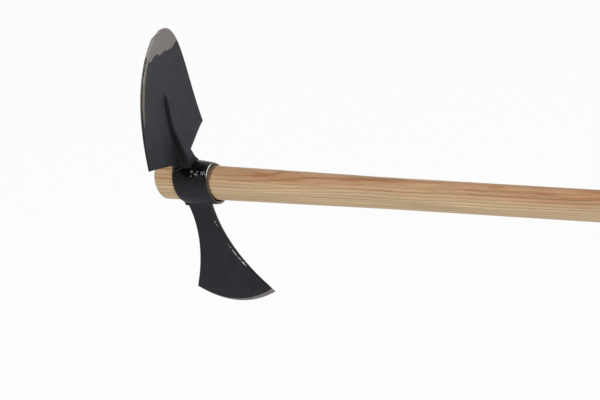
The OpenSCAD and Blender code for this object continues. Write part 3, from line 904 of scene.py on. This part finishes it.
def leaf_grid():
    """Each point's share u across and v along the leaf, its place, and its rise off the edge."""
    near = np.arange(0.0, NEAR_NECK, NECK_STEP) / HOE_WIDE
    far = np.linspace(NEAR_NECK, FAR_NECK, FAR_COLUMNS) / HOE_WIDE
    half = np.concatenate([near, far, 1.0 - RIM_INSETS / HOE_WIDE])
    u = np.concatenate([-half[:0:-1], half])[None, :]
    rows = 0.9998 * np.sin(np.radians(np.linspace(0.7, 90.0, ROWS)))
    v = np.concatenate([LOW_ROWS, rows])[:, None]
    y = u * leaf_half(v)
    outline = SHOULDER - SHOULDER_FALL * (1.0 - np.abs(u))
    z = lerp(SHOULDER, TIP, v) - SHOULDER_FALL * (1.0 - np.abs(u)) * (1.0 - v) ** 2
    rise = z - outline
    # The neck's foot reaches down into the wall of the eye.
    root = np.sqrt(np.maximum(ROOT_RADIUS ** 2 - y ** 2, ROOT_LEAST ** 2))
    neck = 1.0 - smooth((np.abs(y) - ROOT_HALF) / ROOT_EASE)
    z = z - (outline - root) * neck * (1.0 - v) ** 8
    return u, v, y, z, rise


# %% Finish the leaf's surface
# Where the grinding of the tip stops: the height z at each place y across the leaf.
TIP_BORDER = ((-40, 156), (-29, 152), (-21, 150), (-18, 153), (-9, 154), (-2, 149), (10, 149),
              (21, 146), (28, 147), (35, 149))


def ground_leaf(u, y, z, inset):
    """How far inside ground steel the face is, and how raw and how worn that steel is."""
    tip = z - np.interp(y, *np.transpose(TIP_BORDER))
    left = 1.0 * (u < 0.0)
    # The bevel down the edge at negative Y is ground too, but for a black line along it.
    strip = 3.1 - np.abs(inset - 4.4) - 6.0 * (1.0 - smooth((z - 55.0) / 60.0)) - 9.0 * (1.0 - left)
    line = np.exp(-((inset - 3.3) / 0.55) ** 2) * left + 0.6 * np.exp(-(inset / 0.7) ** 2)
    ground = np.minimum(0.4 * tip, 3.0) - 6.0 * line * (tip > -2.0)
    ground = np.maximum(ground, np.where(tip > 0.0, -9.0, 0.7 * strip))
    raw = 1.0 - smooth((tip + 6.0) / 8.0)
    worn = 0.6 * left * (inset < 2.6) * smooth((z - 120.0) / 20.0)
    rear = np.maximum(np.minimum(0.4 * (tip - 6.0), 3.0), 0.4 - inset)
    return ground, rear, raw, worn


def leaf_dust_and_shade(y, z, inset, front):
    """Grey on the open face, kept black on the rib's steep flanks and at the rim: partly dust, partly
    painted light and shade. The corner at negative Y and the neck's foot are kept darker too.
    """
    # Painted shade: the steeper the face, the blacker it is kept, so the rib's flanks stay dark.
    slope = np.abs(np.gradient(front, axis=1) / np.gradient(y, axis=1))
    open_face = smooth((inset - 0.5) / 2.0)
    # The neck's last few millimetres above the eye are kept black.
    away_from_neck_foot = lerp(smooth((z - 26.0) / 5.0), 1.0, smooth((np.abs(y) - 10.0) / 6.0))
    # Painted shade: the corner between the neck and the shoulder at negative Y is kept darker.
    corner = smooth((58.0 - z) / 28.0) * smooth((36.0 + y) / 20.0)
    shade = 0.25 * np.exp(-((z - 30.0) / 26.0) ** 2) + 0.55 * corner
    shade = 1.0 - shade * (y < -5.0)
    return open_face * away_from_neck_foot * shade / (1.0 + (slope / 0.5) ** 2), open_face


# %% Forge the leaf
def hoe_leaf():
    """The leaf as one closed skin: its face, and its back turned round behind it."""
    u, v, y, z, rise = leaf_grid()
    inset = np.minimum(leaf_half(v) * (1.0 - np.abs(u)), (1.0 - v) * (TIP - SHOULDER))
    thick = lerp(PLATE_EDGE, PLATE, smooth(inset / BEVEL))
    eased = thick * lerp(0.3, 1.0, quarter(inset, 0.5)) * lerp(0.55, 1.0, quarter(rise, 0.9))
    plate = plate_face(u, z)
    front = soft_max(plate + web(y, z), rib_face(y, z), RIB_FILLET) - (thick - eased) / 2
    back = plate + web(y, z) * smooth((np.abs(y) - WEB_BACK) / WEB_BACK) - (thick + eased) / 2
    face = np.stack([front, y, z], -1)
    rear = np.stack([back, y, z], -1)
    piece = skin("hoe_leaf", np.concatenate([face, rear[:, ::-1]], 1))
    ground, rear_ground, raw, worn = ground_leaf(u, y, z, inset)
    dust_and_painted_light, rear_dust_and_shade = leaf_dust_and_shade(y, z, inset, front)
    for name, ahead, behind in (("bare", ground, rear_ground), ("dust_and_painted_light", dust_and_painted_light, rear_dust_and_shade),
                                ("raw", raw, 0.0), ("worn", worn, 0.0)):
        both = np.concatenate([ahead + 0.0 * z, (behind + 0.0 * z)[:, ::-1]], 1)
        keep_values(piece, name, both)
    piece.data.materials.append(matt_lacquer)
    return piece


leaf = hoe_leaf()
note_sizes(leaf, "hoe_blade")
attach(leaf, "root")
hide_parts("hoe_blade")

# %% [markdown]
# ## The axe blade
# Below the eye hangs a small axe: a neck of rectangular bar that flares and thins down to
# a curved cutting edge swept towards the grip. Its two long edges are smooth curves with
# a known angle at each end, which is exactly what a Bezier curve is drawn from. Rows of points
# are stretched between the two curves, and each row gets the blade's thickness at that
# height. The long arrises are rounded, and the last seven millimetres are ground to an edge.

# %% The sizes of the axe
# The heights of the neck's root and the edge's corners, and how far the edge sags between.
AXE_ROOT, AXE_LOW, AXE_SAG = -20.2, -128.0, 14.0
AXE_DROP = AXE_ROOT - AXE_LOW
# Where both long edges start at the neck and end at the cutting edge, and their slopes.
NECK_BACK, NECK_BACK_SLOPE = -19.5, tan_deg(22.0)
NECK_FRONT, NECK_FRONT_SLOPE = 7.5, tan_deg(4.0)
EDGE_BACK, EDGE_BACK_SLOPE = -25.5, tan_deg(20.0)
EDGE_FRONT, EDGE_FRONT_SLOPE = 69.5, -tan_deg(49.0)
# The thickness at the neck, above the ground strip and at the edge, the strip's height, and
# how far the arrises are rounded.
NECK_THICK, BIT_THICK, EDGE_THICK = 10.0, 3.2, 0.9
EDGE_GROUND, ARRIS = 7.0, 1.4
print("axe: edge", EDGE_FRONT - EDGE_BACK, "mm across,", round(AXE_DROP, 1), "mm below its root")


def axe_curve(root_x, corner_x, top, low, v):
    """A long edge from the neck's root to the cutting edge's corner, leaving at two slopes."""
    high = 0.28 * AXE_DROP
    deep = 0.36 * AXE_DROP
    points = np.array([(root_x, AXE_ROOT), (root_x + high * top, AXE_ROOT - high),
                       (corner_x + deep * low, AXE_LOW + deep), (corner_x, AXE_LOW)])
    s = 1.0 - v
    weights = np.stack([s ** 3, 3 * s ** 2 * v, 3 * s * v ** 2, v ** 3], -1)
    return weights @ points


# %% Lay a grid over the axe
# The rows crowd at the cutting edge and the columns at the arrises, by these millimetres.
EDGE_ROWS = np.array([12.0, 10.0, 8.5, 7.6, 7.2, 6.8, 6.2, 5.0, 3.5, 2.0, 1.0, 0.5, 0.25, 0.1, 0.0])
ARRIS_COLUMNS = np.array([0.0, 0.05, 0.18, 0.4, 0.7, 1.0, 1.4, 2.0, 3.2])
# The first and last of the even rows, as shares of the drop, and the even rows and columns.
FIRST_ROW, LAST_ROW, EVEN_ROWS, EVEN_COLUMNS = 0.0205, 0.88, 84, 40


def axe_grid():
    """Each point's share u across the axe, its place, and how far it is from the edges."""
    even = np.linspace(FIRST_ROW, LAST_ROW, EVEN_ROWS)
    v = np.concatenate([even, 1.0 - EDGE_ROWS / AXE_DROP])
    back = axe_curve(NECK_BACK, EDGE_BACK, NECK_BACK_SLOPE, EDGE_BACK_SLOPE, v)
    front = axe_curve(NECK_FRONT, EDGE_FRONT, NECK_FRONT_SLOPE, EDGE_FRONT_SLOPE, v)
    half = (front[:, :1] - back[:, :1]) / 2.0
    rim = ARRIS_COLUMNS[-1] / half
    middle = lerp(-1.0 + rim, 1.0 - rim, np.linspace(0.0, 1.0, EVEN_COLUMNS)[None, 1:-1])
    u = np.concatenate([-1.0 + ARRIS_COLUMNS / half, middle, 1.0 - ARRIS_COLUMNS[::-1] / half], 1)
    v = v[:, None]
    x = lerp(back[:, :1], front[:, :1], (u + 1.0) / 2.0)
    sag = AXE_SAG * (1.0 - u ** 2) * v ** 3
    z = lerp(back[:, 1:], front[:, 1:], (u + 1.0) / 2.0) - sag
    return u, v, x, z, (1.0 - v) * AXE_DROP, (1.0 - np.abs(u)) * half


# %% Finish the axe's surface
# How far the front arris is knocked bare, at each height z down the axe.
KNOCKS = ((-104.0, 0.0), (-97.0, 1.0), (-80.0, 0.85), (-58.0, 0.5), (-46.0, 0.85), (-40.0, 0.0))


def finish_axe(piece, u, z, to_edge, side):
    """A cutting edge that is ground most at its front corner, and a knocked front arris."""
    strip = lerp(0.5, 3.1, np.clip((u + 0.55) / 1.55, 0.0, 1.0))
    knock = np.interp(z, *np.transpose(KNOCKS))
    arris = knock * (u > 0) * np.exp(-((side - 0.4) / 0.3) ** 2)
    ground = np.maximum(2.0 * (strip - to_edge), 2.8 * arris - 2.1)
    # The lacquer is kept darker towards the long arrises and on the narrow faces between them.
    dust_and_painted_light = lerp(0.3, 1.0, smooth((side - 0.3) / 0.8)) + 0.0 * ground
    for name, field in (("bare", ground), ("worn", arris), ("dust_and_painted_light", dust_and_painted_light)):
        keep_values(piece, name, np.concatenate([field, field[:, ::-1]], 1))
    piece.data.materials.append(gloss_lacquer)


# %% Forge the axe
def axe_wedge():
    """The axe as one closed skin, with two flanks that meet at the ground edge."""
    u, v, x, z, to_edge, side = axe_grid()
    wedge = lerp(NECK_THICK, BIT_THICK, v ** 1.4)
    thick = lerp(EDGE_THICK, wedge, np.minimum(to_edge / EDGE_GROUND, 1.0))
    ease = np.minimum(ARRIS, thick * 0.3)
    flank = thick / 2.0 - ease * (1.0 - quarter(side, ease))
    flank = flank * lerp(0.5, 1.0, quarter(to_edge, 0.4))
    left = np.stack([x, flank, z], -1)
    right = np.stack([x, -flank, z], -1)
    piece = skin("axe_wedge", np.concatenate([left, right[:, ::-1]], 1))
    finish_axe(piece, u, z, to_edge, side)
    return piece


axe = axe_wedge()
note_sizes(axe, "axe_blade")
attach(axe, "root")
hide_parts("axe_blade")

# %% [markdown]
# ## The welds
# A weld bead is a row of small puddles that froze one after another. Waves in a material
# would leave its outline smooth, so the ripples are real here. Geometry Nodes lay one
# flattened drop at each step along the joint, each a little different in size, and a voxel
# remesh melts them together with the bead's core into one closed, rippled skin.

# %% The sizes of the weld's ripples
RIPPLE_SIZES = {"Pitch": 1.8 * MM, "Drop": 2.5 * MM, "Flatness": 0.5, "Unevenness": 0.08}
# No point of a bead comes nearer to the handle's axis than this, so none reaches the wood.
WOOD_CLEAR = 22.3
print("ripples every", round(RIPPLE_SIZES["Pitch"] / MM, 1), "mm")


# %% The nodes that lay drops along a path
def ripple_tree():
    """Nodes that put a flattened drop at each step of a curve, turned along it."""
    tree = bpy.data.node_groups.new("weld_ripples", "GeometryNodeTree")
    add = partial(add_node, tree)
    tree.interface.new_socket("Geometry", in_out="OUTPUT", socket_type="NodeSocketGeometry")
    tree.interface.new_socket("Path", in_out="INPUT", socket_type="NodeSocketGeometry")
    tree.interface.new_socket("Finish", in_out="INPUT", socket_type="NodeSocketMaterial")
    for name in RIPPLE_SIZES:
        tree.interface.new_socket(name, in_out="INPUT", socket_type="NodeSocketFloat")
    given = add("NodeGroupInput").outputs
    path = add("GeometryNodeResampleCurve", {"Curve": given["Path"], "Length": given["Pitch"]},
               mode="LENGTH")
    drop = add("GeometryNodeMeshIcoSphere", {"Radius": 1.0, "Subdivisions": 3})
    along = add("GeometryNodeInputTangent")
    ahead = add("FunctionNodeAlignRotationToVector", {"Vector": along}, axis="X")
    least = add(MATH, {0: 1.0, 1: given["Unevenness"]}, operation="SUBTRACT")
    most = add(MATH, {0: 1.0, 1: given["Unevenness"]}, operation="ADD")
    size = add("FunctionNodeRandomValue", {"Min": least, "Max": most, "Seed": 7},
               data_type="FLOAT")
    size = add(MATH, {0: size, 1: given["Drop"]}, operation="MULTIPLY")
    thin = add(MATH, {0: size, 1: given["Flatness"]}, operation="MULTIPLY")
    scale = add("ShaderNodeCombineXYZ", {"X": thin, "Y": size, "Z": size})
    drops = add("GeometryNodeInstanceOnPoints", {"Points": path, "Instance": drop,
                                                 "Rotation": ahead, "Scale": scale})
    real = add("GeometryNodeRealizeInstances", {"Geometry": drops})
    done = add("GeometryNodeSetMaterial", {"Geometry": real, "Material": given["Finish"]})
    add("NodeGroupOutput", {"Geometry": done})
    return tree


weld_nodes = ripple_tree()


# %% Melt the drops together
def weld_path(name, path, closed):
    """A curve through the points of a path in millimetres."""
    spline = bpy.data.curves.new(name, "CURVE")
    spline.dimensions = "3D"
    run = spline.splines.new("POLY")
    run.points.add(len(path) - 1)
    run.use_cyclic_u = closed
    points = (np.asarray(path) + np.array(EYE)) * MM
    run.points.foreach_set("co", np.column_stack([points, np.ones(len(points))]).ravel())
    return spline


def melted(core, drops):
    """The plain mesh that a voxel remesh makes of a bead's core and its drops."""
    form = bmesh.new()
    form.from_mesh(core.data)
    form.from_mesh(drops)
    form.to_mesh(core.data)
    form.free()
    melt = core.modifiers.new("melt", "REMESH")
    melt.mode = "VOXEL"
    melt.voxel_size = 0.33 * MM
    melt.use_smooth_shade = True
    soften = core.modifiers.new("soften", "SMOOTH")
    soften.iterations = 9
    graph = bpy.context.evaluated_depsgraph_get()
    made = bpy.data.meshes.new_from_object(core.evaluated_get(graph), depsgraph=graph)
    bpy.data.objects.remove(core)
    return made


def weld(name, path, core, closed, dust_and_painted_light, ripples):
    """One rippled bead: drops along a path, melted into a core's rings."""
    values = {**RIPPLE_SIZES, **ripples, "Finish": weld_lacquer}
    drops = run_tree(name + "_drops", weld_nodes, values, weld_path(name + "_path", path, closed))
    made = melted(skin(name + "_core", core), drops)
    # What would reach the wood is held back inside the wall of the eye.
    p = np.array([q.co for q in made.vertices]) / MM - np.array(EYE)
    push = np.maximum(WOOD_CLEAR / np.hypot(p[:, 1], p[:, 2]), 1.0)
    p[:, 1:] *= push[:, None]
    made.vertices.foreach_set("co", ((p + np.array(EYE)) * MM).astype(np.float32).ravel())
    made.materials.clear()
    made.materials.append(weld_lacquer)
    made.name = name
    piece = finish_piece(name, made)
    keep_values(piece, "bare", np.full(len(p), -9.0))
    keep_values(piece, "dust_and_painted_light", np.full(len(p), dust_and_painted_light))
    return piece


# %% The hoe's bead
# How far the bead's middle stands off the neck and the plate, and how far in from the sawn
# end of the eye the foot of the plate lies.
BEAD_OUT, PLATE_IN = 1.25, 1.4


def bead_rings(path, radius, sides=16):
    """Rings round a path, drawn in at both of its ends."""
    path = np.asarray(path)
    ahead = np.gradient(path, axis=0)
    ahead /= np.linalg.norm(ahead, axis=1)[:, None]
    across = np.cross(ahead, (0.0, 0.0, 1.0))
    across /= np.linalg.norm(across, axis=1)[:, None]
    above = np.cross(across, ahead)
    steps = np.minimum(np.arange(len(path)), np.arange(len(path))[::-1])
    size = radius * lerp(0.5, 1.0, smooth(steps / 5.0))[:, None, None]
    angle = np.linspace(0.0, math.tau, sides, endpoint=False)[None, :, None]
    return path[:, None] + size * (np.cos(angle) * across[:, None] - np.sin(angle) * above[:, None])


def hoe_bead_path():
    """Along the foot of the plate, down the neck's flank, round its front and back again."""
    flank = math.asin((RIB_HALF + NECK_SPREAD + BEAD_OUT) / EYE_SIDE)
    front_x = plate_face(0.0, EYE_TOP) + RIB + NECK_RISE + EYE_LEAN * EYE_TOP
    plate_x = PLATE_IN - EYE_HALF + BEAD_OUT
    path = []
    for t in np.radians(np.linspace(-90.0, 90.0, 61)):
        back = 1.0 - math.cos(t)
        angle = flank * math.sin(t) + math.copysign(math.radians(14.0), t) * back ** 3
        path.append(eye_point(lerp(front_x, plate_x, back), angle))
    return path


# %% Weld the hoe's neck to the eye
hoe_path = hoe_bead_path()
hoe_bead = weld("hoe_bead", hoe_path, bead_rings(hoe_path, 2.0), False, 0.15, {"Drop": 2.4 * MM})
note_sizes(hoe_bead, "hoe_weld")
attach(hoe_bead, "root")
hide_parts("hoe_weld")


# %% The axe's bead
# How far the skirt stands off the neck at the eye and at its lower end, where it sinks in,
# how far down it reaches, and how wide it is where it follows the round eye.
SKIRT_OUT, SKIRT_IN, SKIRT_DROP, SKIRT_HALF = 3.1, -0.4, 5.0, 8.5
# The height at which the skirt starts inside the eye, and that of the ring of drops.
SKIRT_TOP, BEAD_Z, BEAD_FLARE = -20.4, -24.6, 1.3


def neck_ring(z, flare, count=72):
    """A rounded rectangle round the axe's neck at height z, standing off it by flare."""
    back = NECK_BACK + NECK_BACK_SLOPE * (AXE_ROOT - z) - flare
    front = NECK_FRONT + NECK_FRONT_SLOPE * (AXE_ROOT - z) + flare
    angle = np.radians(np.linspace(0.0, 360.0, count, endpoint=False) + 2.5)
    wave_x = np.sign(np.cos(angle)) * np.abs(np.cos(angle)) ** 0.4
    wave_y = np.sign(np.sin(angle)) * np.abs(np.sin(angle)) ** 0.4
    x = lerp(back, front, (1.0 + wave_x) / 2.0)
    return np.stack([x, (NECK_THICK / 2.0 + flare) * wave_y, z + 0.0 * angle], -1)


def axe_skirt():
    """The weld's core: a skirt with a bulging face, from inside the eye down the neck."""
    high = -EYE_TOP * math.sqrt(1.0 - (SKIRT_HALF / EYE_SIDE) ** 2)
    low = -EYE_TOP - SKIRT_DROP
    rings = [neck_ring(SKIRT_TOP, SKIRT_OUT)]
    for turn in np.radians(np.linspace(90.0, 0.0, 10)):
        z = lerp(low, high, turn / (math.pi / 2))
        rings.append(neck_ring(z, lerp(SKIRT_IN, SKIRT_OUT, math.sin(turn))))
    return rings


# %% Weld the axe's neck to the eye
axe_path = neck_ring(BEAD_Z, BEAD_FLARE)
axe_ripples = {"Drop": 2.3 * MM, "Pitch": 2.3 * MM}
# The axe's bead is made three quarters grey: a painted highlight, as it lies in the eye's shadow.
axe_bead = weld("axe_bead", axe_path, axe_skirt(), True, 0.75, axe_ripples)
note_sizes(axe_bead, "axe_weld")
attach(axe_bead, "root")
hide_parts("axe_weld")

# %% [markdown]
# ## Light and floor
# The tool is lit as in a small studio. A small lamp stands high above the head and gives the
# gloss its sharp flecks. A large soft one on the grip's side fills in the flanks, and a white
# room lights what neither reaches. A white floor lies well below the tool, where only
# a breath of its shadow is left. Together they light a surface at about the level at which
# its colour was written. Some light and shade is still painted on: into the head's lacquer,
# the top of the handle and the wood at the eye's mouth.

# %% What the eye sees directly
def seen_rays(add):
    """1 for the rays that show a thing itself, also in a mirror or through glass, else 0."""
    rays = add("ShaderNodeLightPath").outputs
    seen = add(MATH, {0: rays["Is Camera Ray"], 1: rays["Is Glossy Ray"]}, operation="MAXIMUM")
    return add(MATH, {0: seen, 1: rays["Is Transmission Ray"]}, operation="MAXIMUM")


# %% The floor
# Matt white paper from a roll: it has no sheen at all, so it shows as one even white. Where
# it is seen, nine tenths of it shine by themselves, which keeps it white beyond the lamps'
# reach, and one tenth is lit like paper and takes the tool's shadow.
FLOOR_DROP, FLOOR_HALF = 0.45, 9.0
FLOOR_SHINE = 0.9


def white_paper():
    """The floor's material."""
    material = bpy.data.materials.new("white_paper")
    material.use_nodes = True
    tree = material.node_tree
    tree.nodes.clear()
    add = partial(add_node, tree)
    paper = add("ShaderNodeBsdfDiffuse", {"Color": srgb("#f5f5f5")})
    shine = add("ShaderNodeEmission", {"Color": srgb("#ffffff"), "Strength": 1.0})
    share = add(MATH, {0: seen_rays(add), 1: FLOOR_SHINE}, operation="MULTIPLY")
    blend = add("ShaderNodeMixShader", {0: share, 1: paper, 2: shine})
    add("ShaderNodeOutputMaterial", {"Surface": blend})
    return material


def white_floor():
    """A pale floor that shows white and still takes the tool's shadow."""
    form = bmesh.new()
    bmesh.ops.create_grid(form, x_segments=1, y_segments=1, size=FLOOR_HALF)
    mesh = bpy.data.meshes.new("floor")
    form.to_mesh(mesh)
    form.free()
    mesh.transform(Matrix.Translation((EYE.x * MM, 0.0, -FLOOR_DROP)))
    mesh.materials.append(white_paper())
    floor = bpy.data.objects.new("floor", mesh)
    bpy.context.scene.collection.objects.link(floor)
    print("floor:", FLOOR_DROP, "m below the handle's axis")


white_floor()


# %% The room and the lamps
# Both lamps stand this many metres from a point on the handle, 0.2 m from the eye.
LAMP_AWAY = 3.5
LAMP_AIM = EYE * MM + Vector((0.2, 0.0, 0.0))


def white_room(fill):
    """A white surrounding that lights the tool at the level fill."""
    world = bpy.data.worlds.new("white_room")
    bpy.context.scene.world = world
    world.use_nodes = True
    tree = world.node_tree
    tree.nodes.clear()
    add = partial(add_node, tree)
    level = add(RANGE, {"Value": seen_rays(add), "To Min": fill, "To Max": 1.0})
    room = add("ShaderNodeBackground", {"Color": srgb("#ffffff"), "Strength": level})
    add("ShaderNodeOutputWorld", {"Surface": room})


def soft_lamp(name, direction, width, level):
    """A square lamp of this width in metres that lights a facing surface at this level."""
    lamp = bpy.data.lights.new(name, "AREA")
    lamp.size = width
    lamp.energy = level * math.pi ** 2 * LAMP_AWAY ** 2
    light = bpy.data.objects.new(name, lamp)
    bpy.context.scene.collection.objects.link(light)
    way = Vector(direction).normalized()
    turn = way.to_track_quat("Z", "Y").to_matrix().to_4x4()
    light.matrix_world = Matrix.Translation(LAMP_AIM + way * LAMP_AWAY) @ turn
    light.visible_camera = False
    print(name, "lamp:", width, "m wide,", round(lamp.energy, 1), "W")


white_room(0.62)
soft_lamp("key", (-0.20, -0.32, 0.93), 0.25, 0.29)
soft_lamp("fill", (0.80, -0.55, 0.25), 1.6, 0.34)

# %% [markdown]
# ## Finish
# The standard view keeps the colours as they were written.

# %% Finish
bpy.context.scene.view_settings.view_transform = "Standard"
